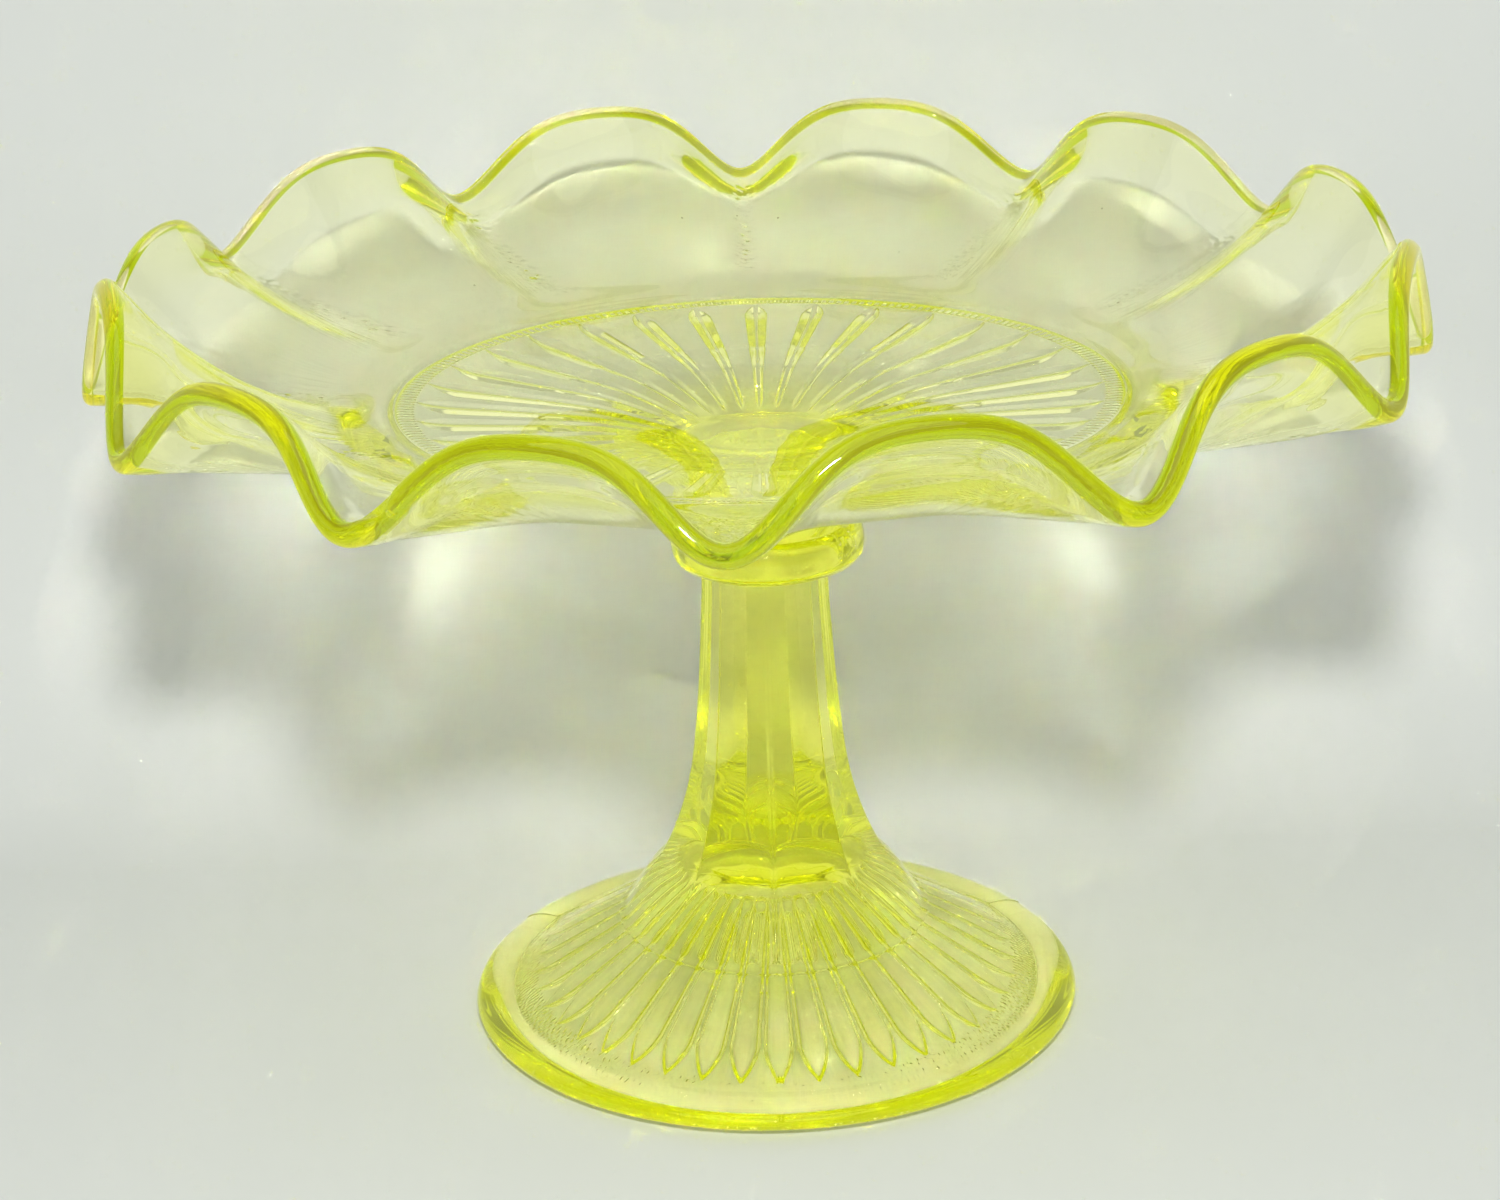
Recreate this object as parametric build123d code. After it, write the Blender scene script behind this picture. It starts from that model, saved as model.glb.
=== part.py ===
from build123d import *

import os
from math import atan2, cos, degrees, hypot, pi, radians, sin

# A pressed glass cake stand with a crimped rim: a dish, a moulded pedestal, and the wafer of
# hot glass that joins them. Millimetres, +Z up, the foot rests on z = 0, the front is at -Y.

# Overall heights
STEM_TOP = 89.0
WAFER_TOP = 96.5
FLOOR_Z = 120.0  # middle of the glass where the flat floor turns into the ruffled wall

# Dish
FLOOR_RADIUS = 66.5
FLOOR_OVERLAP = 1.5  # the floor's thick middle starts this far inside the wall
FLOOR_SAG = 5.5  # the top of the floor dips this far at its centre
GLASS = 4.0  # thickness of the wall and the floor's edge
VALLEY_RADIUS = 119.0
CREST_RADIUS = 113.5
WALL_RISE = 7.0  # the part of the rise that the wall gains in a straight line
WALL_CURVE = 2.2  # power of the curl that lifts the crests
CREST_BREADTH = 0.54  # above 0 the crests are broad and the valleys narrow
FLOOR_SAG_SHARE = 0.62  # how much of that dip is left halfway out
UNDERSIDE_FALL = 0.104  # slope of the floor's underside, down towards the middle
TRUMPET_RADIUS = 40.0  # where that slope turns down into the trumpet
TRUMPET_CURVE = [(28.5, 112.0), (20.5, 105.0)]  # radius and height, from there to the wafer
SUNBURST_RIBS = 32
SUNBURST_START = 41.0
SUNBURST_END = 61.0
SUNBURST_ROOT = 1.0
SUNBURST_TIP = 1.9
SUNBURST_PROUD = 0.8

# Each ruffle of the rim: its valley's angle from the front towards +X, the height of the
# rim's centre line there, and that of the crest that follows it. The crimping is done by
# hand, so no two are alike.
RUFFLES = [
    (-3, 131, 147),
    (28, 131, 149),
    (58, 133, 150),
    (90, 126, 149),
    (122, 135, 150),
    (151, 134, 149),
    (181, 133, 149),
    (211, 133, 148),
    (241, 133, 146),
    (272, 125, 150),
    (299, 129, 145),
    (328, 130, 145),
]
POINTS_PER_RUFFLE = 4
WALL_STEPS = [step / 6 for step in range(1, 7)]
EDGE_TURNS = [45, 90, 135]  # degrees round the rim's rounded edge, from below to above

# Wafer
WAFER_RADIUS = 18.0
WAFER_WAIST = 15.5  # radius of its flat faces
WAFER_OFFSET = 0.4  # the gather landed slightly off centre

# Pedestal
PANELS = 8
STEM_SECTIONS = [  # radius at the panels' edges, and height
    (28.7, 18.5),
    (24.8, 25.0),
    (20.2, 31.5),
    (16.75, 40.0),
    (14.6, 49.0),
    (13.1, 62.0),
    (12.2, 75.0),
    (11.7, 84.0),
    (11.7, STEM_TOP),
]
FOOT_SLOPE_END = (47.0, 7.1)
FOOT_BROW = [(50.3, 5.7), (54.0, 5.2)]
FOOT_EDGE = [(56.6, 4.0), (57.5, 2.0)]
REST_RADIUS = 56.3  # outer edge of the ring that the foot rests on
REST_INNER = 52.0
HOLLOW_TOP = 27.5
HOLLOW_DOME = [(9.5, 26.2), (15.0, 22.6), (23.0, 17.4)]
HOLLOW_SLOPE_END = (46.0, 3.0)
FOOT_RIBS = 40
FOOT_RIB_START = 17.0
FOOT_RIB_SHOULDER = 40.0
FOOT_RIB_END = 44.5
FOOT_RIB_ROOT = 1.0
FOOT_RIB_WIDE = 2.3
FOOT_RIB_PROUD = 0.9
FOOT_RIB_HEIGHTS = (21.2, 6.8)  # of the hollow's surface at the rib's start and shoulder


def ruffle_at(angle):
    """The valley angles either side of an angle, and the heights between them."""
    for index, (start, valley, crest) in enumerate(RUFFLES):
        following = RUFFLES[(index + 1) % len(RUFFLES)]
        end = following[0] + (360 if index == len(RUFFLES) - 1 else 0)
        if start <= angle < end:
            return start, end, valley, following[1], crest
    raise ValueError(angle)


def rim_point(angle):
    """Radius and height of the rim's centre line at an angle from the front."""
    start, end, valley, next_valley, crest = ruffle_at(angle)
    share = (angle - start) / (end - start)
    warped = share + CREST_BREADTH / (2 * pi) * sin(2 * pi * share)
    lift = (1 - cos(2 * pi * warped)) / 2
    low = valley + (next_valley - valley) * share
    radius = VALLEY_RADIUS + (CREST_RADIUS - VALLEY_RADIUS) * lift
    return radius, low + (crest - low) * lift


def at(radius, height):
    """A point of a profile that is turned round the Z axis."""
    return Vector(radius, 0, height)


def underside_height(radius):
    """Height of the floor's underside outside the trumpet."""
    return FLOOR_Z - GLASS / 2 - UNDERSIDE_FALL * (FLOOR_RADIUS - FLOOR_OVERLAP - radius)


def wall_point(angle, reach):
    """A point of the wall's middle surface: reach runs from 0 at the floor to 1 at the rim."""
    first = RUFFLES[0][0]
    radius, height = rim_point((angle - first) % 360 + first)
    r = FLOOR_RADIUS + (radius - FLOOR_RADIUS) * reach
    curl = height - FLOOR_Z - WALL_RISE
    z = FLOOR_Z + WALL_RISE * reach + curl * reach**WALL_CURVE
    return Vector(r * sin(radians(angle)), -r * cos(radians(angle)), z)


def wall_frame(angle, reach):
    """The wall's outward direction and its upward normal at a point."""
    step = 0.01
    out = (wall_point(angle, reach + step) - wall_point(angle, reach - step)).normalized()
    along = wall_point(angle + 1, reach) - wall_point(angle - 1, reach)
    return out, along.cross(out).normalized() * -1


def ring(point):
    """A closed smooth loop through one point per angle, as one curve for each ruffle."""
    curves = []
    for index, (start, _, _) in enumerate(RUFFLES):
        width = (RUFFLES[(index + 1) % len(RUFFLES)][0] - start) % 360
        angles = [start + width * step / POINTS_PER_RUFFLE for step in range(POINTS_PER_RUFFLE + 1)]
        ends = [point(angle + 0.5) - point(angle - 0.5) for angle in (angles[0], angles[-1])]
        curves.append(Edge.make_spline([point(angle) for angle in angles], tangents=ends))
    return Wire(curves)


def wall_ring(reach, turn):
    """A ring on the wall's skin: turn is 0 on the underside, 180 on top, 90 at the edge."""

    def point(angle):
        out, normal = wall_frame(angle, reach)
        around = out * sin(radians(turn)) - normal * cos(radians(turn))
        return wall_point(angle, reach) + around * (GLASS / 2)

    return ring(point)


def floor_ring(z):
    return ring(lambda a: Vector(FLOOR_RADIUS * sin(radians(a)), -FLOOR_RADIUS * cos(radians(a)), z))


def revolved(*edges):
    """A solid turned round the Z axis from edges drawn in the XZ plane."""
    return revolve(make_face(Curve() + list(edges)), Axis.Z)


def lying_rib(start, start_radius, end, end_radius, height_start, height_end, tip):
    """A tapering rib that lies outwards along +X, with a round or pointed outer end."""
    run = end - start
    slope = degrees(atan2(height_end - height_start, run))
    length = hypot(run, height_end - height_start)
    bar = Cone(start_radius, end_radius, length, align=(Align.CENTER, Align.CENTER, Align.MIN))
    if tip:
        point = Cone(end_radius, 0.2, tip, align=(Align.CENTER, Align.CENTER, Align.MIN))
        bar += Pos(0, 0, length) * point
    else:
        bar += Pos(0, 0, length) * Sphere(end_radius)
    return Pos(start, 0, height_start) * Rot(0, 90 - slope, 0) * bar


def around_axis(shape, count):
    """Copies of a shape, evenly spaced round the Z axis, one of them at the back."""
    return [Rot(0, 0, 90 + 360 * index / count) * shape for index in range(count)]


def make_dish():
    top = FLOOR_Z + GLASS / 2
    under = FLOOR_Z - GLASS / 2
    sections = [floor_ring(under)]
    sections += [wall_ring(reach, 0) for reach in WALL_STEPS]
    sections += [wall_ring(1.0, turn) for turn in EDGE_TURNS]
    sections += [wall_ring(reach, 180) for reach in reversed(WALL_STEPS)]
    sections.append(floor_ring(top))
    plate = Solid.make_loft(sections, ruled=True)

    # The floor's thick middle runs down in a trumpet to the wafer.
    rim_corner = at(FLOOR_RADIUS - FLOOR_OVERLAP, under)
    shoulder = at(TRUMPET_RADIUS, underside_height(TRUMPET_RADIUS))
    foot_corner = at(WAFER_WAIST, WAFER_TOP)
    bell = [shoulder] + [at(*point) for point in TRUMPET_CURVE] + [foot_corner]
    trumpet = revolved(
        Line(rim_corner, shoulder),
        Spline(*bell, tangents=((-1, 0, -UNDERSIDE_FALL), (-3, 0, -8))),
        Line(foot_corner, at(0, WAFER_TOP)),
        Line(at(0, WAFER_TOP), at(0, under)),
        Line(at(0, under), rim_corner),
    )
    dish = plate + trumpet

    # The top of the floor is a shallow saucer.
    edge = at(FLOOR_RADIUS - 1, top)
    centre = at(0, top - FLOOR_SAG)
    halfway = at(FLOOR_RADIUS / 2, top - FLOOR_SAG * FLOOR_SAG_SHARE)
    dish -= revolved(
        Spline(centre, halfway, edge, tangents=((1, 0, 0), (1, 0, 0.2))),
        Line(edge, at(0, top)),
        Line(at(0, top), centre),
    )

    # Ribs of the sunburst stand a little proud of the underside.
    rib = lying_rib(
        SUNBURST_START,
        SUNBURST_ROOT,
        SUNBURST_END,
        SUNBURST_TIP,
        underside_height(SUNBURST_START) + SUNBURST_ROOT - SUNBURST_PROUD,
        underside_height(SUNBURST_END) + SUNBURST_TIP - SUNBURST_PROUD,
        0,
    )
    return dish + around_axis(rib, SUNBURST_RIBS)


def make_wafer():
    """A squashed gather of glass with a rounded side, between two flat contact faces."""
    middle = (STEM_TOP + WAFER_TOP) / 2
    low = at(WAFER_WAIST, STEM_TOP)
    high = at(WAFER_WAIST, WAFER_TOP)
    wafer = revolved(
        ThreePointArc(low, at(WAFER_RADIUS, middle), high),
        Line(high, at(0, WAFER_TOP)),
        Line(at(0, WAFER_TOP), at(0, STEM_TOP)),
        Line(at(0, STEM_TOP), low),
    )
    return Pos(WAFER_OFFSET, 0, 0) * wafer


def make_pedestal():
    stem = loft(
        [Pos(0, 0, z) * RegularPolygon(radius, PANELS) for radius, z in STEM_SECTIONS]
    )
    flare_radius, flare_z = STEM_SECTIONS[0]
    brow = [at(*point) for point in [FOOT_SLOPE_END] + FOOT_BROW]
    edge = [at(*point) for point in FOOT_BROW[-1:] + FOOT_EDGE] + [at(REST_RADIUS, 0)]
    foot = revolved(
        Line(at(0, flare_z), at(flare_radius, flare_z)),
        Line(at(flare_radius, flare_z), at(*FOOT_SLOPE_END)),
        Spline(*brow),
        Spline(*edge),
        Line(at(REST_RADIUS, 0), at(0, 0)),
        Line(at(0, 0), at(0, flare_z)),
    )
    pedestal = foot + stem

    # The foot is hollow underneath, up to a rounded dome inside the flare.
    dome = [at(0, HOLLOW_TOP)] + [at(*point) for point in HOLLOW_DOME]
    slope_end = at(*HOLLOW_SLOPE_END)
    mouth = at(REST_INNER, 0)
    pedestal -= revolved(
        Spline(*dome, tangents=((1, 0, 0), (2, 0, -1.2))),
        Line(dome[-1], slope_end),
        Line(slope_end, mouth),
        Line(mouth, at(0, 0)),
        Line(at(0, 0), dome[0]),
    )

    # Pointed ribs line the hollow of the foot.
    start_height, shoulder_height = FOOT_RIB_HEIGHTS
    rib = lying_rib(
        FOOT_RIB_START,
        FOOT_RIB_ROOT,
        FOOT_RIB_SHOULDER,
        FOOT_RIB_WIDE,
        start_height + FOOT_RIB_ROOT - FOOT_RIB_PROUD,
        shoulder_height + FOOT_RIB_WIDE - FOOT_RIB_PROUD,
        FOOT_RIB_END - FOOT_RIB_SHOULDER,
    )
    return pedestal + around_axis(rib, FOOT_RIBS)


os.makedirs("parts", exist_ok=True)
for name, make in [("dish", make_dish), ("wafer", make_wafer), ("pedestal", make_pedestal)]:
    part = make()
    export_step(part, f"parts/{name}.step")
    print(name, round(part.volume), "mm3", part.bounding_box())
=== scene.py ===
from math import cos, hypot, pi, radians, sin

import bmesh
import bpy
import numpy as np
from mathutils import Matrix, Vector


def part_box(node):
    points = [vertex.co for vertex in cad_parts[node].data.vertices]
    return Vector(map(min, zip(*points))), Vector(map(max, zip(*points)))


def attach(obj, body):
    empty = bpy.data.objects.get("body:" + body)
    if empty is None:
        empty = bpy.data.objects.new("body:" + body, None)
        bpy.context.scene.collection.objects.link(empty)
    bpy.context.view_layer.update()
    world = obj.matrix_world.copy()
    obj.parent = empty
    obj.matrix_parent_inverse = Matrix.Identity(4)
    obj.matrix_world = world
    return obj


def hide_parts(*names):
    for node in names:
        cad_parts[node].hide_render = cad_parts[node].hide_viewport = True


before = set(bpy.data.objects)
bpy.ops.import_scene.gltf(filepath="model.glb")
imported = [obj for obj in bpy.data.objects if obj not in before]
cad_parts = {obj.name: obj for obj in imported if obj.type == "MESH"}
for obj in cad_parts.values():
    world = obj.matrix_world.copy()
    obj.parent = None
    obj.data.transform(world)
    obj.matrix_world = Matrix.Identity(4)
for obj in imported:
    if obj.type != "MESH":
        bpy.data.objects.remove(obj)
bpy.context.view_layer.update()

# A footed dish of pressed uranium glass with a crimped rim. Sizes are in millimetres and turn into
# metres when a mesh is made. Angles round the stem run from the front (-Y) towards +X. A reach is a
# place on the dish's wall, from 0 at the floor's edge to 1 at the rim.
MM = 0.001
RNG = np.random.default_rng(5)

# Heights of the joints between the pieces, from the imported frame
STEM_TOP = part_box("wafer")[0].z / MM
WAFER_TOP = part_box("wafer")[1].z / MM
FUSED = 0.12  # neighbouring pieces run this far into each other where they are fused

# Dish: floor, wall and the trumpet under the floor
DISH_STEPS = 1536  # points in its finest rings
FLOOR_Z = 120.0
FLOOR_RADIUS = 66.5
FLOOR_FLAT_RADIUS = FLOOR_RADIUS - 1.0  # the floor's top sags inside this radius
FLOOR_SAG = 5.5
FLOOR_SAG_POWER = 1.45
GLASS = 4.0
WALL_THINNING = 0.6  # each skin of the wall lies this far in, between the floor and the rim
THINNING_START = (0.04, 0.25)
THINNING_END = (0.8, 0.97)
RIM_SQUARENESS = 2.35  # 2 is a half round edge
VALLEY_RADIUS = 119.0
CREST_RADIUS = 113.5
WALL_RISE = 7.0
WALL_CURVE = 2.2
CREST_BREADTH = 0.54
UNDERSIDE_RADIUS = FLOOR_RADIUS - 1.5  # the underside slopes down inside this radius
UNDERSIDE_FALL = 0.104
TRUMPET_RADIUS = 40.0
TRUMPET_CURVE = [(40.0, 115.3), (34.0, 114.3), (28.5, 112.0), (20.5, 105.0), (15.5, WAFER_TOP)]
RUFFLES = [  # a valley's angle and rim height, and the height of the crest that follows it
    (-3, 131, 147),
    (28, 131, 149),
    (58, 133, 150),
    (90, 126, 149),
    (122, 135, 150),
    (151, 134, 149),
    (181, 133, 149),
    (211, 133, 148),
    (241, 133, 146),
    (272, 125, 150),
    (299, 129, 145),
    (328, 130, 145),
]

# Dish: the pressed pattern under the floor
SUNBURST_RIBS = 32
SUNBURST_INNER = 16.5
SUNBURST_OUTER = 62.3
SUNBURST_HALF_WIDTH = 2.3
SUNBURST_FACET = 1.8  # width of a rib's sloping sides
SUNBURST_PROUD = 2.2
SUNBURST_INNER_SIZE = 0.3  # a rib's size at its inner end, as a share of its size at the outer end
SUNBURST_TIP = 6.0  # length of a rib's rounded outer end
SUNBURST_TIP_TAPER = 1.7
SUNBURST_TIP_FULLNESS = 0.8
SUNBURST_FADE = 3.0  # length over which a rib's inner end comes up
MILLED_TICKS = 256
MILLED_BAND = (63.0, 65.2)
MILLED_DEPTH = 0.28
MILLED_EDGE = 0.3
BEAD_RADIUS = 66.0
BEAD_WIDTH = 0.75
BEAD_PROUD = 0.55

# Dish: what the crimping tool and the hot glass left
CRIMP_WIDTH = 2.4
CRIMP_DEPTH = 0.13
CRIMP_PRESS = 0.6  # the even part of the wrinkles' depth
CRIMP_HOLLOW_WIDTH = 6.0
CRIMP_HOLLOW_DEPTH = 0.3
STREAK_SPREAD = 13.0
STREAK_DEPTH = 0.025
STREAK_RADIUS = 95.0
STREAK_STRETCH = 0.12  # streaks run outwards, so they change this much more slowly along the wall
MARKS_START = (0.1, 0.35)
MARKS_END = (0.84, 0.97)
WRINKLE_WAVES = (14, 1.1, 2.8)  # how many waves, and the shortest and the longest
STREAK_WAVES = (14, 0.9, 2.6)
NICK_ANGLE = radians(331.0)
NICK_WIDTH = radians(0.9)
NICK_DEPTH = 1.3
NICK_BUBBLE = (NICK_ANGLE + radians(0.4), 0.99, 0.7)  # angle, reach and radius
SEEDS = 14  # tiny bubbles in the wall
SEED_REACH = (0.2, 0.9)
SEED_SIZE = (0.12, 0.3)

# Wafer
WAFER_STEPS = 256
WAFER_RADIUS = 18.0
WAFER_WAIST = 15.5
WAFER_FULLNESS = 0.8
WAFER_OFFSET = 0.4
WAFER_LOBES = [(1, 0.35, -0.6), (2, 0.2, 1.0)]  # lobes round it, their depth and their phase
BUBBLES = 16
BUBBLE_SIDE = radians(68)
BUBBLE_SPREAD = 0.35
BUBBLE_RADIUS = (13.2, 16.2)
BUBBLE_HEIGHT = (-1.2, 2.2)
BUBBLE_SIZE = (0.15, 0.42)

# Pedestal: stem
PEDESTAL_STEPS = 1600
PANELS = 8
STEM_SECTIONS = [
    (28.7, 18.5),
    (24.8, 25.0),
    (20.2, 31.5),
    (16.75, 40.0),
    (14.6, 49.0),
    (13.1, 62.0),
    (12.2, 75.0),
    (11.7, 84.0),
    (11.7, STEM_TOP + FUSED),
]
PANEL_EDGE_ROUNDING = 0.12
PANEL_FADE = (26.0, 44.0)  # the panels fade out between these heights
PANEL_HOLLOW = 0.15
MOULD_SEAMS = 3
SEAM_WIDTH = 0.4
SEAM_PROUD = 0.28
EDGE_WIDTH = 0.35
EDGE_PROUD = 0.05
EDGE_FADE = (24.0, 30.0)
RING_PROUD = 0.8  # the raised ring where the stem meets the foot
RING_WIDTH = 0.55

# Pedestal: foot
FOOT_TOP = [(28.7, 18.5), (49.3, 5.66)]
FOOT_FLANGE = [(49.9, 5.5), (52.5, 5.4), (55.0, 4.8), (56.8, 3.8), (57.5, 2.6)]
FOOT_UNDERSIDE = [
    (57.5, 2.6),
    (57.15, 1.75),
    (56.1, 1.3),
    (53.6, 0.5),
    (51.9, 0.06),
    (51.0, 0.0),
    (50.2, 0.2),
]
HOLLOW_MOUTH = [(50.2, 0.2), (48.6, 1.15), (46.0, 3.0)]
HOLLOW_SLOPE = [(46.0, 3.0), (23.0, 17.4)]
HOLLOW_DOME = [(23.0, 17.4), (15.0, 22.6), (9.5, 26.2), (4.0, 27.3), (0.0, 27.5)]
FOOT_RIBS = 40
FOOT_RIB_START = 12.0
FOOT_RIB_SHOULDER = 38.5
FOOT_RIB_END = 45.2
FOOT_RIB_PROUD = 1.9
FOOT_RIB_BREADTH = 0.88  # share of the space round the foot that the ribs take up
FOOT_RIB_INNER_SIZE = 0.25
FOOT_RIB_FADE = 2.0
FOOT_RIB_TAPER = 1.5  # how a rib's outer end narrows
FOOT_RIB_FALL = 3  # how its height falls away there
STIPPLE_BAND = (44.0, 50.0)
STIPPLE_FADE = 1.0
STIPPLE_DEPTH = 0.11
STIPPLE_WAVES = (20, 0.7, 1.5)

# Mesh: where the rings of points lie along each surface. A single number is how many rings there
# are. Three numbers named RINGS are the first place, the last place and how many, and three named
# SPACING are the first place, a limit and the step.
FLOOR_TOP_RINGS = (1.5, 60.0, 34)
FLOOR_EDGE_RINGS = (61.5, FLOOR_RADIUS - 0.6, 5)
WALL_TOP_RINGS = (0.012, 1.0, 100)
RIM_RINGS = (pi, 0.0, 22)
WALL_UNDER_RINGS = (1.0, 0.02, 46)
MILLED_SPACING = (FLOOR_RADIUS + 0.2, 62.6, -0.2)
RIB_TIP_SPACING = (62.4, 57.0, -0.3)
RIB_RINGS = (56.5, TRUMPET_RADIUS, 16)
TRUMPET_RINGS = 44
DISH_END_RADII = (WAFER_WAIST - 0.05, 10, 5)
WAFER_RINGS = 32
WAFER_END_RADII = (5, 10, WAFER_WAIST - 0.6)
DOME_RINGS = 40
DOME_MIDDLE_RADIUS = 10  # rings inside this radius have half as many points
DOME_COARSE_RADIUS = 5  # and a quarter as many inside this one
SLOPE_RINGS = 90
MOUTH_RINGS = 16
FLANGE_RINGS = 26
FOOT_TOP_RINGS = 40
STEM_RINGS = 480
STEM_CLOSE_RINGS = 40  # rings kept at the stem's foot, for the raised ring there
STEM_SKIP = 4  # above them, one ring in so many is kept
STEM_END_RADII = (9.0, 4.5)
NARROWEST = 0.01  # a rib's width is kept above this where it is divided by

# Glass. Uranium glass fluoresces, most where light travels far inside it, and light that runs along
# inside the wall comes out at the rim. Both are painted glow here, not lit by any lamp: a fixed
# emission on all the glass brightens it, and a stronger painted glow sits on the rim's edge.
IOR = 1.5
ABSORPTION_COLOUR = (0.990, 0.996, 0.0, 1)
ABSORPTION_DENSITY = 70
PAINTED_GLOW = (0.9, 1.0, 0.0, 1)
PAINTED_GLOW_STRENGTH = 0.016
# the rim's edge: a stronger painted glow, emission that makes the rim band bright
PAINTED_EDGE_GLOW = (1.0, 0.78, 0.0, 1)
PAINTED_EDGE_GLOW_STRENGTH = 0.095
UNEVEN_SCALE = 45
UNEVEN_DETAIL = 2
UNEVEN_STRENGTH = 0.1
UNEVEN_DEPTH = 0.35

# Stage: a floor, and a sweep behind the dish that shows only its front
STAGE_COLOUR = (0.72, 0.74, 0.72, 1)
STAGE_ROUGHNESS = 0.9
STAGE_HALF = 6000
FLOOR_GAP = 0.2  # so that the foot's ring and the floor don't share a plane
SWEEP_START = 66
SWEEP_WALL = 150
SWEEP_HEIGHT = 2500
SWEEP_SINK = 0.05  # the sweep comes up out of the floor from this far below it
SWEEP_STEPS = 24
WORLD_BANDS = [  # how far up the sky a colour lies, and the colour
    (0.08, (0.29, 0.30, 0.29)),
    (0.24, (0.56, 0.58, 0.57)),
    (0.45, (0.20, 0.205, 0.20)),
]

# Lights, with energies in watts for the softbox and watts per square metre for the fill
SOFTBOX_SIZE = 50
SOFTBOX_ENERGY = 2.85
SOFTBOX_AIM = (0, 0, 130)
SOFTBOX_DISTANCE = 630
SOFTBOX_ELEVATION = radians(29)
FILL_ENERGY = 0.58
FILL_SPREAD = radians(60)
FILL_FROM = (0, -1, 1.6)

# Camera
CAMERA_ELEVATION = radians(20.13)
CAMERA_ROLL = radians(1.709)
CAMERA_DISTANCE = 603.9
CAMERA_AIM = (-2.83, 0, 80.64)
CAMERA_LENS = 78.4728
CAMERA_SENSOR = 36


# ---------------------------------------------------------------- shape helpers
def turn_angles(count):
    return np.arange(count) * 2 * pi / count


def turn_grids(count):
    """Angles of a fine ring, and of rings with half and a quarter as many points."""
    return turn_angles(count), turn_angles(count // 2), turn_angles(count // 4)


def on_ring(angles, radius, height):
    """Points round the stem's axis. Radius and height are numbers or one value for each angle."""
    radius = np.broadcast_to(radius, angles.shape)
    height = np.broadcast_to(height, angles.shape)
    return np.stack([radius * np.sin(angles), -radius * np.cos(angles), height], axis=1)


def on_axis(height):
    return on_ring(np.zeros(1), 0, height)


def smoothstep(low, high, value):
    share = np.clip((value - low) / (high - low), 0, 1)
    return share * share * (3 - 2 * share)


def hump(value, width):
    return np.exp(-((value / width) ** 2))


def curve_through(points, count):
    """A smooth line of count points through a few (radius, height) points."""
    points = np.array(points, float)
    padded = np.vstack([2 * points[0] - points[1], points, 2 * points[-1] - points[-2]])
    legs = len(points) - 1
    line = []
    for place in np.linspace(0, legs, count):
        leg = min(int(place), legs - 1)
        t = place - leg
        a, b, c, d = padded[leg : leg + 4]
        square = 2 * a - 5 * b + 4 * c - d
        cube = 3 * b - a - 3 * c + d
        line.append(0.5 * (2 * b + (c - a) * t + square * t**2 + cube * t**3))
    return line


def straight(points, count):
    start, end = np.array(points, float)
    return [start + (end - start) * share for share in np.linspace(0, 1, count)]


def unit(vectors):
    return vectors / np.linalg.norm(vectors, axis=1, keepdims=True)


def from_rib(angles, ribs, radius):
    """Distance along a ring from the nearest of some evenly spaced ribs."""
    pitch = 2 * pi / ribs
    return np.abs((angles + pitch / 2) % pitch - pitch / 2) * radius


def waves(count, shortest, longest):
    """Random plane waves: a heading, a wave number and a phase for each."""
    headings = RNG.uniform(0, pi, count)
    numbers = 2 * pi / RNG.uniform(shortest, longest, count)
    return list(zip(headings, numbers, RNG.uniform(0, 2 * pi, count)))


def relief(field, x, y):
    """Smooth random relief, mostly between -1 and 1."""
    total = 0
    for heading, number, phase in field:
        total = total + np.sin(number * (x * cos(heading) + y * sin(heading)) + phase)
    return total / len(field) ** 0.5


WRINKLES = waves(*WRINKLE_WAVES)
STREAKS = waves(*STREAK_WAVES)
STIPPLE = waves(*STIPPLE_WAVES)


# ---------------------------------------------------------------- mesh helpers
def faces_between(here, n, there, m):
    """Faces from a ring of n points to a ring of m. Their first points are numbered here and there."""
    index = np.arange(max(n, m) if 1 in (n, m) else min(n, m))
    after = np.roll(index, -1)
    if n == 1:
        return list(zip(there + after, there + index, here + 0 * index))
    if m == 1:
        return list(zip(here + index, here + after, there + 0 * index))
    if n == m:
        return list(zip(here + index, here + after, there + after, there + index))
    if n == 2 * m:
        triangles = zip(here + 2 * index, here + 2 * index + 1, there + index)
        quads = zip(here + 2 * index + 1, here + 2 * after, there + after, there + index)
        return [*triangles, *quads]
    if m == 2 * n:
        triangles = zip(here + index, there + 2 * index + 1, there + 2 * index)
        quads = zip(here + index, here + after, there + 2 * after, there + 2 * index + 1)
        return [*triangles, *quads]
    raise ValueError(f"a ring of {n} points can't meet a ring of {m}")


def skin(name, rings, edge_rings=(0, 0)):
    """A closed smooth mesh from rings of points. A ring has as many points as the one before it,
    half as many or twice as many. The first and last rings are single points. The faces between
    the edge rings take the second material."""
    vertices = np.vstack(rings) * MM
    starts = np.cumsum([0] + [len(ring) for ring in rings])
    faces = []
    face_counts = [0]
    for first, (ring, following) in enumerate(zip(rings, rings[1:])):
        faces += faces_between(starts[first], len(ring), starts[first + 1], len(following))
        face_counts.append(len(faces))
    mesh = bpy.data.meshes.new(name)
    mesh.from_pydata(vertices.tolist(), [], [tuple(int(v) for v in face) for face in faces])
    mesh.validate()
    shell = bmesh.new()
    shell.from_mesh(mesh)
    if shell.calc_volume(signed=True) < 0:
        bmesh.ops.reverse_faces(shell, faces=shell.faces)
    shell.to_mesh(mesh)
    shell.free()
    mesh.shade_smooth()
    for face in range(face_counts[edge_rings[0]], face_counts[edge_rings[1]]):
        mesh.polygons[face].material_index = 1
    piece = bpy.data.objects.new(name, mesh)
    bpy.context.scene.collection.objects.link(piece)
    return piece


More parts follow.
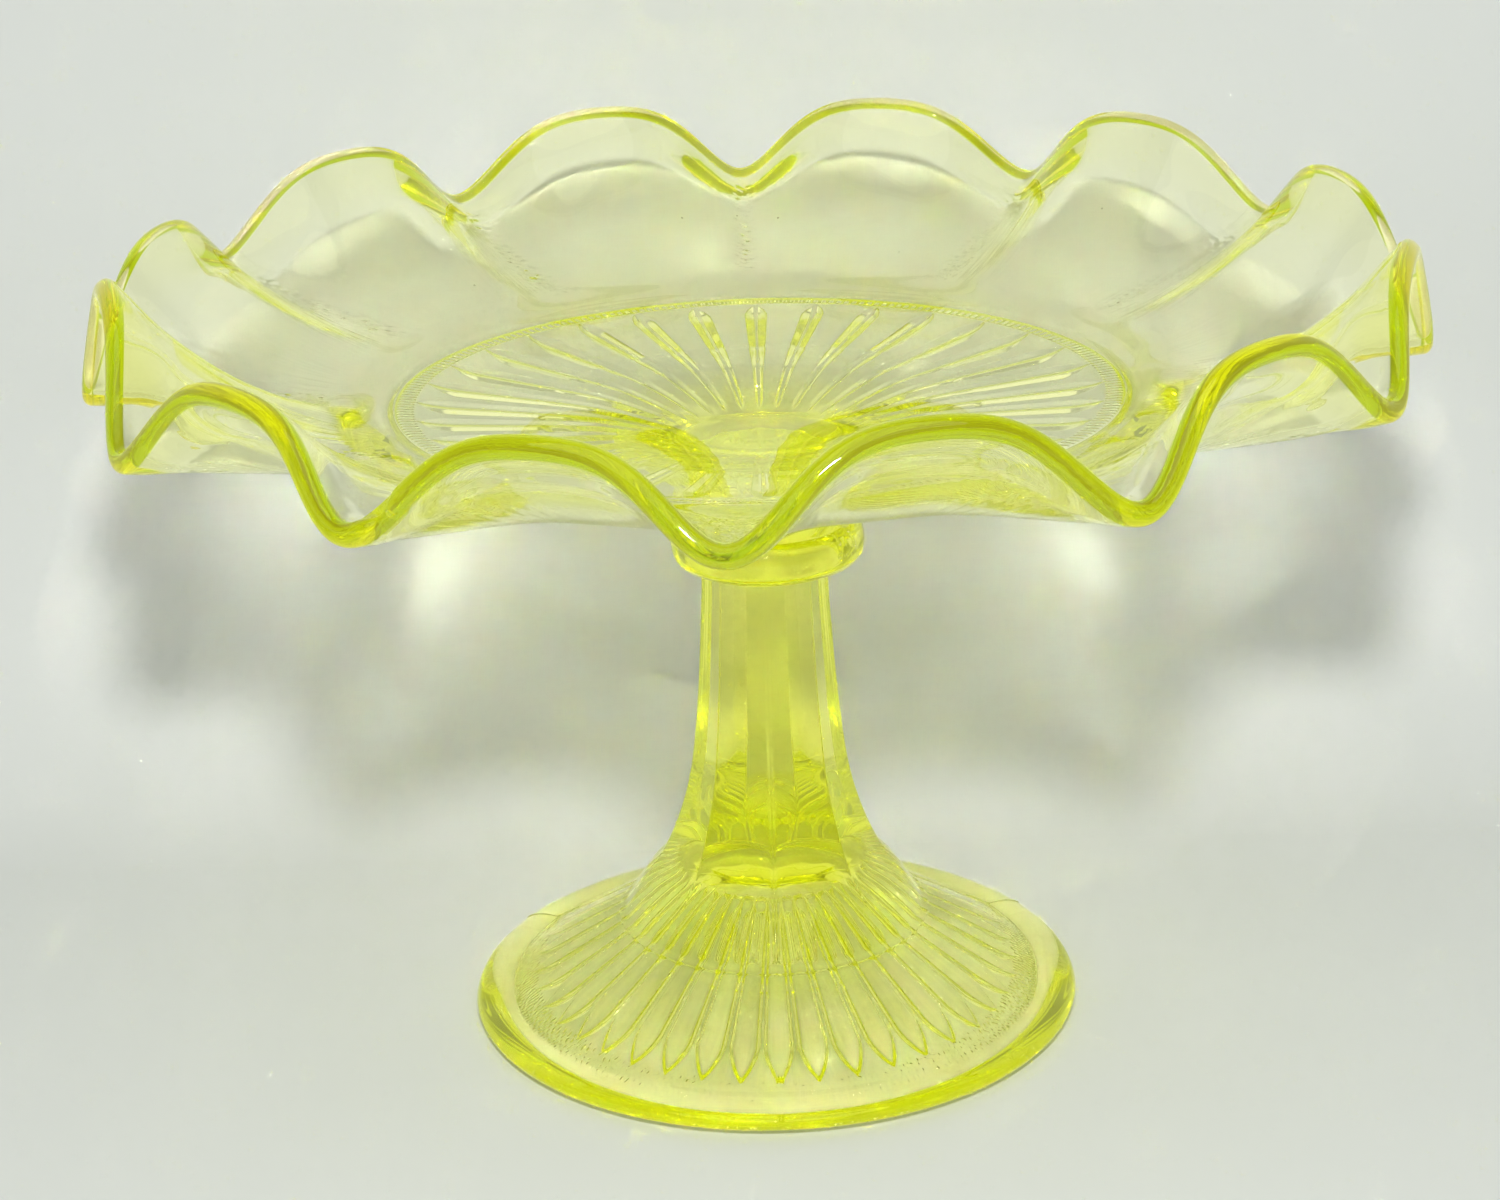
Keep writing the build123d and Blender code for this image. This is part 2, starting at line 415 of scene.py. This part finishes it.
def add_bubbles(piece, bubbles):
    """Small round bubbles of air inside the glass: each is a centre and a radius."""
    shell = bmesh.new()
    shell.from_mesh(piece.data)
    for centre, radius in bubbles:
        bubble = bmesh.ops.create_icosphere(shell, subdivisions=2, radius=radius * MM)
        bmesh.ops.translate(shell, verts=bubble["verts"], vec=Vector(centre) * MM)
        faces = {face for vertex in bubble["verts"] for face in vertex.link_faces}
        bmesh.ops.reverse_faces(shell, faces=list(faces))
    shell.to_mesh(piece.data)
    shell.free()
    piece.data.shade_smooth()


# ---------------------------------------------------------------- dish
def rim_line(angles):
    """Radius and height of the rim's centre line at each angle."""
    degrees_round = (np.degrees(angles) - RUFFLES[0][0]) % 360 + RUFFLES[0][0]
    starts = np.array([ruffle[0] for ruffle in RUFFLES] + [RUFFLES[0][0] + 360])
    valleys = np.array([ruffle[1] for ruffle in RUFFLES] + [RUFFLES[0][1]], float)
    crests = np.array([ruffle[2] for ruffle in RUFFLES], float)
    which = np.clip(np.searchsorted(starts, degrees_round, side="right") - 1, 0, len(RUFFLES) - 1)
    share = (degrees_round - starts[which]) / (starts[which + 1] - starts[which])
    warped = share + CREST_BREADTH / (2 * pi) * np.sin(2 * pi * share)
    lift = (1 - np.cos(2 * pi * warped)) / 2
    low = valleys[which] + (valleys[which + 1] - valleys[which]) * share
    radius = VALLEY_RADIUS + (CREST_RADIUS - VALLEY_RADIUS) * lift
    return radius, low + (crests[which] - low) * lift


def wall_middle(angles, reach):
    """Points halfway through the thickness of the wall."""
    radius, height = rim_line(angles)
    r = FLOOR_RADIUS + (radius - FLOOR_RADIUS) * reach
    z = FLOOR_Z + WALL_RISE * reach + (height - FLOOR_Z - WALL_RISE) * reach**WALL_CURVE
    return on_ring(angles, r, z)


def wall_skin(angles, reach, turn, extra=0.0):
    """A ring on the wall's skin: turn is 0 on the underside, pi on top, pi / 2 at the rim's edge."""
    step = 0.01
    middle = wall_middle(angles, reach)
    out = unit(wall_middle(angles, reach + step) - wall_middle(angles, reach - step))
    along = wall_middle(angles + step, reach) - wall_middle(angles - step, reach)
    normal = unit(np.cross(out, along))
    thinner = WALL_THINNING * smoothstep(*THINNING_START, reach)
    thinner *= 1 - smoothstep(*THINNING_END, reach)
    offset = np.broadcast_to(GLASS / 2 - thinner + extra, angles.shape)[:, None]
    outward = max(sin(turn), 0) ** (2 / RIM_SQUARENESS)
    upward = -np.sign(cos(turn)) * abs(cos(turn)) ** (2 / RIM_SQUARENESS)
    return middle + (out * outward + normal * upward) * offset


def beside_valleys(angles, radius):
    """Distance along a ring from each valley of the rim, one row for each valley."""
    valleys = np.radians([ruffle[0] for ruffle in RUFFLES])[:, None]
    return ((angles - valleys + pi) % (2 * pi) - pi) * radius


def tool_marks(angles, reach):
    """Depth of what the crimping tool left along each valley: wrinkles in a shallow hollow, and fine
    flow streaks either side."""
    radius = FLOOR_RADIUS + (VALLEY_RADIUS - FLOOR_RADIUS) * reach
    aside = beside_valleys(angles, radius)
    wrinkled = np.exp(-((aside / CRIMP_WIDTH) ** 4)).sum(axis=0)
    hollow = hump(aside, CRIMP_HOLLOW_WIDTH).sum(axis=0)
    streaked = hump(aside, STREAK_SPREAD).sum(axis=0)
    along = reach * (VALLEY_RADIUS - FLOOR_RADIUS)
    across = angles * radius
    fade = smoothstep(*MARKS_START, reach) * (1 - smoothstep(*MARKS_END, reach))
    depth = CRIMP_DEPTH * wrinkled * (CRIMP_PRESS + relief(WRINKLES, across, along))
    depth += CRIMP_HOLLOW_DEPTH * hollow
    depth += STREAK_DEPTH * streaked * relief(STREAKS, angles * STREAK_RADIUS, along * STREAK_STRETCH)
    return depth * fade


def floor_top(radius):
    top = FLOOR_Z + GLASS / 2
    return top - FLOOR_SAG * (1 - np.minimum(radius / FLOOR_FLAT_RADIUS, 1) ** FLOOR_SAG_POWER)


def underside_height(radius):
    return FLOOR_Z - GLASS / 2 - UNDERSIDE_FALL * (UNDERSIDE_RADIUS - radius)


def sunburst(angles, radius):
    """How far the ribs under the floor stand proud at each angle of a ring."""
    share = (radius - SUNBURST_INNER) / (SUNBURST_OUTER - SUNBURST_INNER)
    left = SUNBURST_OUTER - radius
    size = SUNBURST_INNER_SIZE + (1 - SUNBURST_INNER_SIZE) * max(share, 0)
    tip = (1 - np.clip(left / SUNBURST_TIP, 0, 1)) ** SUNBURST_TIP_TAPER
    size *= (1 - tip) ** SUNBURST_TIP_FULLNESS
    size *= smoothstep(0, SUNBURST_FADE, radius - SUNBURST_INNER)
    inside = SUNBURST_HALF_WIDTH * size - from_rib(angles, SUNBURST_RIBS, radius)
    facet = max(SUNBURST_FACET * size, NARROWEST)
    return SUNBURST_PROUD * size * np.clip(inside / facet, 0, 1)


def milled_ring(angles, radius):
    """How far the bead and the milled ticks round the floor stand proud of its underside."""
    start, end = MILLED_BAND
    inside = smoothstep(start - MILLED_EDGE, start, radius)
    inside *= 1 - smoothstep(end, end + MILLED_EDGE, radius)
    ticks = MILLED_DEPTH * inside * (0.5 + 0.5 * np.cos(MILLED_TICKS * angles))
    return BEAD_PROUD * hump(radius - BEAD_RADIUS, BEAD_WIDTH) + ticks


def dish_top(middle, coarse):
    rings = [on_axis(floor_top(0))]
    for radius in np.linspace(*FLOOR_TOP_RINGS):
        rings.append(on_ring(coarse, radius, floor_top(radius)))
    for radius in np.linspace(*FLOOR_EDGE_RINGS):
        rings.append(on_ring(middle, radius, floor_top(radius)))
    return rings


def dish_underside(fine):
    """The bead and the milled ring, then the ribs as far in as the trumpet."""
    rings = []
    under = FLOOR_Z - GLASS / 2
    for radius in np.arange(*MILLED_SPACING):
        height = min(under, underside_height(radius)) - milled_ring(fine, radius)
        rings.append(on_ring(fine, radius, height))
    for radius in np.concatenate([np.arange(*RIB_TIP_SPACING), np.linspace(*RIB_RINGS)]):
        rings.append(on_ring(fine, radius, underside_height(radius) - sunburst(fine, radius)))
    return rings


def dish_trumpet(middle, coarse):
    """The trumpet, with the ribs' inner ends on it, and the flat face that meets the wafer."""
    rings = []
    bell = curve_through(TRUMPET_CURVE, TRUMPET_RINGS)
    slopes = np.gradient(np.array(bell), axis=0)
    for (radius, height), (run, rise) in list(zip(bell, slopes))[1:]:
        length = hypot(run, rise)
        proud = sunburst(middle, radius) if radius > SUNBURST_INNER else 0
        rings.append(on_ring(middle, radius - proud * rise / length, height + proud * run / length))
    for radius in DISH_END_RADII:
        rings.append(on_ring(coarse, radius, WAFER_TOP - FUSED))
    rings.append(on_axis(WAFER_TOP - FUSED))
    return rings


def make_dish():
    fine, middle, coarse = turn_grids(DISH_STEPS)
    rings = dish_top(middle, coarse)
    for reach in np.linspace(*WALL_TOP_RINGS):
        rings.append(wall_skin(fine, reach, pi, -tool_marks(fine, reach)))
    # the rim's edge, between these rings, takes the material with the stronger painted glow
    edge_start = len(rings) - 1
    nick = NICK_DEPTH * hump(fine - NICK_ANGLE, NICK_WIDTH)
    for turn in np.linspace(*RIM_RINGS)[1:-1]:
        rings.append(wall_skin(fine, 1.0, turn, -nick))
    edge_end = len(rings)
    for reach in np.linspace(*WALL_UNDER_RINGS):
        rings.append(wall_skin(middle, reach, 0))
    rings += dish_underside(fine)
    rings += dish_trumpet(middle, coarse)
    dish = skin("dish_glass", rings, (edge_start, edge_end))

    seeds = [NICK_BUBBLE]
    for _ in range(SEEDS):
        seeds.append((RNG.uniform(0, 2 * pi), RNG.uniform(*SEED_REACH), RNG.uniform(*SEED_SIZE)))
    bubbles = []
    for angle, reach, radius in seeds:
        bubbles.append((wall_middle(np.array([angle]), reach)[0], radius))
    add_bubbles(dish, bubbles)
    return dish


# ---------------------------------------------------------------- wafer
def make_wafer():
    angles = turn_angles(WAFER_STEPS)
    middle_height = (STEM_TOP + WAFER_TOP) / 2
    rings = [on_axis(WAFER_TOP + FUSED)]
    for radius in WAFER_END_RADII:
        rings.append(on_ring(angles, radius, WAFER_TOP + FUSED))
    uneven = sum(depth * np.sin(lobes * angles + phase) for lobes, depth, phase in WAFER_LOBES)
    for turn in np.linspace(0, pi, WAFER_RINGS):
        bulge = sin(turn) ** WAFER_FULLNESS
        radius = WAFER_WAIST + (WAFER_RADIUS - WAFER_WAIST) * bulge + uneven * bulge
        rings.append(on_ring(angles, radius, middle_height + (WAFER_TOP - STEM_TOP) / 2 * cos(turn)))
    for radius in WAFER_END_RADII[::-1]:
        rings.append(on_ring(angles, radius, STEM_TOP - FUSED))
    rings.append(on_axis(STEM_TOP - FUSED))
    for ring in rings:
        ring[:, 0] += WAFER_OFFSET
    wafer = skin("wafer_glass", rings)

    bubbles = []
    for _ in range(BUBBLES):
        angle = BUBBLE_SIDE + RNG.uniform(-BUBBLE_SPREAD, BUBBLE_SPREAD)
        radius = RNG.uniform(*BUBBLE_RADIUS)
        height = middle_height + RNG.uniform(*BUBBLE_HEIGHT)
        place = (WAFER_OFFSET + radius * sin(angle), -radius * cos(angle), height)
        bubbles.append((place, RNG.uniform(*BUBBLE_SIZE)))
    add_bubbles(wafer, bubbles)
    return wafer


# ---------------------------------------------------------------- pedestal
def panelled(angles, corner_radius, flatness):
    """Radius of a section with hollowed panels and rounded edges, one edge at the front."""
    apothem = corner_radius * cos(pi / PANELS)
    total = 0
    for panel in range(PANELS):
        aside = np.cos(angles - (panel + 0.5) * 2 * pi / PANELS)
        distance = apothem / np.maximum(aside, 0.2)  # panels on the far side count for nothing
        total = total + np.exp(-(distance - apothem) / PANEL_EDGE_ROUNDING)
    flat = apothem - PANEL_EDGE_ROUNDING * np.log(total)
    hollow = PANEL_HOLLOW * np.sin(angles * PANELS / 2) ** 2
    return corner_radius + (flat - hollow - corner_radius) * flatness


def seams(angles, radius):
    """How far the mould's seams stand proud, one of them at the front."""
    return SEAM_PROUD * hump(from_rib(angles, MOULD_SEAMS, radius), SEAM_WIDTH)


def panel_edges(angles, radius, height):
    """How far the edges between the panels stand proud, down to where they fade out."""
    ridge = hump(from_rib(angles, PANELS, radius), EDGE_WIDTH)
    return EDGE_PROUD * smoothstep(*EDGE_FADE, height) * ridge


def foot_ribs(angles, radius):
    """How far the leaf-shaped ribs inside the foot stand proud at each angle of a ring."""
    size = (radius - FOOT_RIB_START) / (FOOT_RIB_SHOULDER - FOOT_RIB_START)
    size = FOOT_RIB_INNER_SIZE + (1 - FOOT_RIB_INNER_SIZE) * np.clip(size, 0, 1)
    share = np.clip((radius - FOOT_RIB_SHOULDER) / (FOOT_RIB_END - FOOT_RIB_SHOULDER), 0, 1)
    half_width = FOOT_RIB_BREADTH * pi / FOOT_RIBS * radius * (1 - share**FOOT_RIB_TAPER)
    fade = smoothstep(0, FOOT_RIB_FADE, radius - FOOT_RIB_START)
    proud = FOOT_RIB_PROUD * size * fade * (1 - share**FOOT_RIB_FALL)
    aside = from_rib(angles, FOOT_RIBS, radius)
    half_round = np.sqrt(np.clip(1 - (aside / max(half_width, NARROWEST)) ** 2, 0, 1))
    return proud * half_round


def stipple(angles, radius):
    """Depth of the rough band round the ends of the foot's ribs."""
    start, end = STIPPLE_BAND
    fade_in = smoothstep(start, start + STIPPLE_FADE, radius)
    fade_out = 1 - smoothstep(end - STIPPLE_FADE, end, radius)
    rough = relief(STIPPLE, radius * np.sin(angles), radius * np.cos(angles))
    return STIPPLE_DEPTH * (fade_in * fade_out) * rough


def foot_hollow(fine, middle, coarse):
    """The ribbed inside of the foot, from its dome out to its mouth."""
    rings = [on_axis(HOLLOW_DOME[-1][1])]
    for radius, height in curve_through(HOLLOW_DOME, DOME_RINGS)[::-1][1:]:
        grid = coarse
        if radius > DOME_COARSE_RADIUS:
            grid = middle
        if radius > DOME_MIDDLE_RADIUS:
            grid = fine
        rings.append(on_ring(grid, radius, height - foot_ribs(grid, radius)))
    for radius, height in straight(HOLLOW_SLOPE, SLOPE_RINGS)[::-1][1:]:
        rings.append(on_ring(fine, radius, height - foot_ribs(fine, radius) + stipple(fine, radius)))
    for radius, height in curve_through(HOLLOW_MOUTH, MOUTH_RINGS)[::-1][1:]:
        rings.append(on_ring(fine, radius, height + stipple(fine, radius)))
    return rings


def foot_outside(fine):
    """The underside of the flange, its edge and the slope above it."""
    rings = []
    for radius, height in curve_through(FOOT_UNDERSIDE, FLANGE_RINGS)[::-1][1:-1]:
        rings.append(on_ring(fine, radius, height))
    flange = curve_through(FOOT_FLANGE, FLANGE_RINGS)
    slope = straight(FOOT_TOP, FOOT_TOP_RINGS)
    for radius, height in flange[::-1] + slope[::-1][:-1]:
        rings.append(on_ring(fine, radius, height + seams(fine, radius)))
    return rings


def stem(fine, middle, coarse):
    """The panelled stem with its closed top. Its first rings lie closer, for the raised ring."""
    rings = []
    outline = curve_through(STEM_SECTIONS, STEM_RINGS)
    for radius, height in outline[:STEM_CLOSE_RINGS] + outline[STEM_CLOSE_RINGS::STEM_SKIP]:
        section = panelled(fine, radius, smoothstep(*PANEL_FADE, height))
        section += RING_PROUD * hump(height - STEM_SECTIONS[0][1], RING_WIDTH)
        section += seams(fine, radius) + panel_edges(fine, radius, height)
        rings.append(on_ring(fine, section, height))
    for grid, radius in zip((middle, coarse), STEM_END_RADII):
        rings.append(on_ring(grid, radius, STEM_TOP + FUSED))
    rings.append(on_axis(STEM_TOP + FUSED))
    return rings


def make_pedestal():
    fine, middle, coarse = turn_grids(PEDESTAL_STEPS)
    rings = foot_hollow(fine, middle, coarse) + foot_outside(fine) + stem(fine, middle, coarse)
    return skin("pedestal_glass", rings)


# ---------------------------------------------------------------- glass
def make_glass(name, painted_glow, painted_glow_strength):
    """Clear glass that absorbs blue light, with faintly uneven surfaces and a painted glow: a fixed
    emission that brightens the glass though it is no lamp.
    """
    material = bpy.data.materials.new(name)
    material.use_nodes = True
    nodes, links = material.node_tree.nodes, material.node_tree.links
    nodes.clear()
    output = nodes.new("ShaderNodeOutputMaterial")
    glass = nodes.new("ShaderNodeBsdfPrincipled")
    glass.inputs["Base Color"].default_value = (1, 1, 1, 1)
    glass.inputs["IOR"].default_value = IOR
    glass.inputs["Transmission Weight"].default_value = 1
    glass.inputs["Roughness"].default_value = 0.0
    # painted glow: emission that brightens the glass wherever it is, lit or not
    glass.inputs["Emission Color"].default_value = painted_glow
    glass.inputs["Emission Strength"].default_value = painted_glow_strength
    material.cycles.emission_sampling = "NONE"
    place = nodes.new("ShaderNodeTexCoord")
    unevenness = nodes.new("ShaderNodeTexNoise")
    unevenness.inputs["Scale"].default_value = UNEVEN_SCALE
    unevenness.inputs["Detail"].default_value = UNEVEN_DETAIL
    bump = nodes.new("ShaderNodeBump")
    bump.inputs["Strength"].default_value = UNEVEN_STRENGTH
    bump.inputs["Distance"].default_value = UNEVEN_DEPTH * MM
    links.new(place.outputs["Object"], unevenness.inputs["Vector"])
    links.new(unevenness.outputs["Fac"], bump.inputs["Height"])
    links.new(bump.outputs["Normal"], glass.inputs["Normal"])
    tint = nodes.new("ShaderNodeVolumeAbsorption")
    tint.inputs["Color"].default_value = ABSORPTION_COLOUR
    tint.inputs["Density"].default_value = ABSORPTION_DENSITY
    links.new(glass.outputs["BSDF"], output.inputs["Surface"])
    links.new(tint.outputs["Volume"], output.inputs["Volume"])
    return material


# ---------------------------------------------------------------- stage
def stage_material(name, one_sided):
    """Matt pale paint. Where it is one-sided, its back is clear."""
    material = bpy.data.materials.new(name)
    material.use_nodes = True
    nodes, links = material.node_tree.nodes, material.node_tree.links
    paint = nodes["Principled BSDF"]
    paint.inputs["Base Color"].default_value = STAGE_COLOUR
    paint.inputs["Roughness"].default_value = STAGE_ROUGHNESS
    paint.inputs["Specular IOR Level"].default_value = 0.0
    if one_sided:
        geometry = nodes.new("ShaderNodeNewGeometry")
        clear = nodes.new("ShaderNodeBsdfTransparent")
        mix = nodes.new("ShaderNodeMixShader")
        links.new(geometry.outputs["Backfacing"], mix.inputs["Fac"])
        links.new(paint.outputs["BSDF"], mix.inputs[1])
        links.new(clear.outputs["BSDF"], mix.inputs[2])
        links.new(mix.outputs["Shader"], nodes["Material Output"].inputs["Surface"])
    return material


def strip(name, profile, material):
    """A sheet as wide as the stage whose (y, z) profile runs away from the camera."""
    vertices = []
    for y, z in profile:
        vertices += [(-STAGE_HALF * MM, y * MM, z * MM), (STAGE_HALF * MM, y * MM, z * MM)]
    faces = [(2 * i, 2 * i + 1, 2 * i + 3, 2 * i + 2) for i in range(len(profile) - 1)]
    mesh = bpy.data.meshes.new(name)
    mesh.from_pydata(vertices, [], faces)
    mesh.shade_smooth()
    mesh.materials.append(material)
    piece = bpy.data.objects.new(name, mesh)
    bpy.context.scene.collection.objects.link(piece)


def make_stage():
    floor = stage_material("stage_floor", False)
    strip("floor", [(-STAGE_HALF, -FLOOR_GAP), (STAGE_HALF, -FLOOR_GAP)], floor)
    bend = SWEEP_WALL - SWEEP_START
    profile = []
    for turn in np.linspace(0, pi / 2, SWEEP_STEPS):
        height = bend * (1 - cos(turn)) - FLOOR_GAP - SWEEP_SINK
        profile.append((SWEEP_START + bend * sin(turn), height))
    profile.append((SWEEP_WALL, SWEEP_HEIGHT))
    strip("sweep", profile, stage_material("stage_sweep", True))


def make_world():
    """A pale band above the horizon and a dim ceiling, as in a studio with one lamp."""
    world = bpy.data.worlds.new("studio")
    bpy.context.scene.world = world
    world.use_nodes = True
    nodes, links = world.node_tree.nodes, world.node_tree.links
    place = nodes.new("ShaderNodeTexCoord")
    split = nodes.new("ShaderNodeSeparateXYZ")
    ramp = nodes.new("ShaderNodeValToRGB")
    bands = ramp.color_ramp.elements
    bands.remove(bands[0])  # the ramp's own black
    for height, colour in WORLD_BANDS:
        bands.new(height).color = (*colour, 1)
    bands.remove(bands[-1])  # the ramp's own white
    links.new(place.outputs["Generated"], split.inputs["Vector"])
    links.new(split.outputs["Z"], ramp.inputs["Fac"])
    links.new(ramp.outputs["Color"], nodes["Background"].inputs["Color"])
    nodes["Background"].inputs["Strength"].default_value = 1.0


def make_softbox():
    light = bpy.data.lights.new("softbox", "AREA")
    light.shape = "DISK"
    light.size = SOFTBOX_SIZE * MM
    light.energy = SOFTBOX_ENERGY
    towards = Vector((0, -cos(SOFTBOX_ELEVATION), sin(SOFTBOX_ELEVATION)))
    place = (Vector(SOFTBOX_AIM) + SOFTBOX_DISTANCE * towards) * MM
    softbox = bpy.data.objects.new("softbox", light)
    rotation = towards.to_track_quat("Z", "Y").to_matrix().to_4x4()
    softbox.matrix_world = Matrix.Translation(place) @ rotation
    bpy.context.scene.collection.objects.link(softbox)


def make_fill():
    light = bpy.data.lights.new("fill", "SUN")
    light.energy = FILL_ENERGY
    light.angle = FILL_SPREAD
    lamp = bpy.data.objects.new("fill", light)
    lamp.matrix_world = Vector(FILL_FROM).to_track_quat("Z", "Y").to_matrix().to_4x4()
    bpy.context.scene.collection.objects.link(lamp)


def make_camera():
    right = Vector((1, 0, 0))
    up = Vector((0, sin(CAMERA_ELEVATION), cos(CAMERA_ELEVATION)))
    back = Vector((0, -cos(CAMERA_ELEVATION), sin(CAMERA_ELEVATION)))
    across = cos(CAMERA_ROLL) * right - sin(CAMERA_ROLL) * up
    upright = sin(CAMERA_ROLL) * right + cos(CAMERA_ROLL) * up
    camera = bpy.data.cameras.new("camera")
    camera.sensor_width = CAMERA_SENSOR
    camera.lens = CAMERA_LENS
    camera.clip_start = 0.01
    place = (Vector(CAMERA_AIM) + CAMERA_DISTANCE * back) * MM
    viewer = bpy.data.objects.new("camera", camera)
    rotation = Matrix((across, upright, back)).transposed().to_4x4()
    viewer.matrix_world = Matrix.Translation(place) @ rotation
    bpy.context.scene.collection.objects.link(viewer)
    bpy.context.scene.camera = viewer


def set_light_paths():
    """Enough bounces for light to find its way out of ribbed glass, with nothing clamped."""
    scene = bpy.context.scene
    scene.view_settings.view_transform = "Standard"
    scene.cycles.max_bounces = 40
    scene.cycles.transmission_bounces = 40
    scene.cycles.glossy_bounces = 16
    scene.cycles.diffuse_bounces = 3
    scene.cycles.transparent_max_bounces = 16
    scene.cycles.caustics_refractive = True
    scene.cycles.caustics_reflective = False
    scene.cycles.sample_clamp_indirect = 0
    scene.cycles.blur_glossy = 0


# every piece of glass carries a painted glow
glass = make_glass("uranium_glass", PAINTED_GLOW, PAINTED_GLOW_STRENGTH)
# the rim's edge gets a stronger painted glow
painted_glow_edge_glass = make_glass("uranium_glass_painted_edge_glow", PAINTED_EDGE_GLOW, PAINTED_EDGE_GLOW_STRENGTH)
pieces = [
    (make_dish, "dish", [glass, painted_glow_edge_glass]),
    (make_wafer, "wafer", [glass]),
    (make_pedestal, "pedestal", [glass]),
]
for make, node, materials in pieces:
    piece = make()
    for material in materials:
        piece.data.materials.append(material)
    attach(piece, "root")
    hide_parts(node)

make_stage()
make_world()
make_softbox()
make_fill()
make_camera()
set_light_paths()
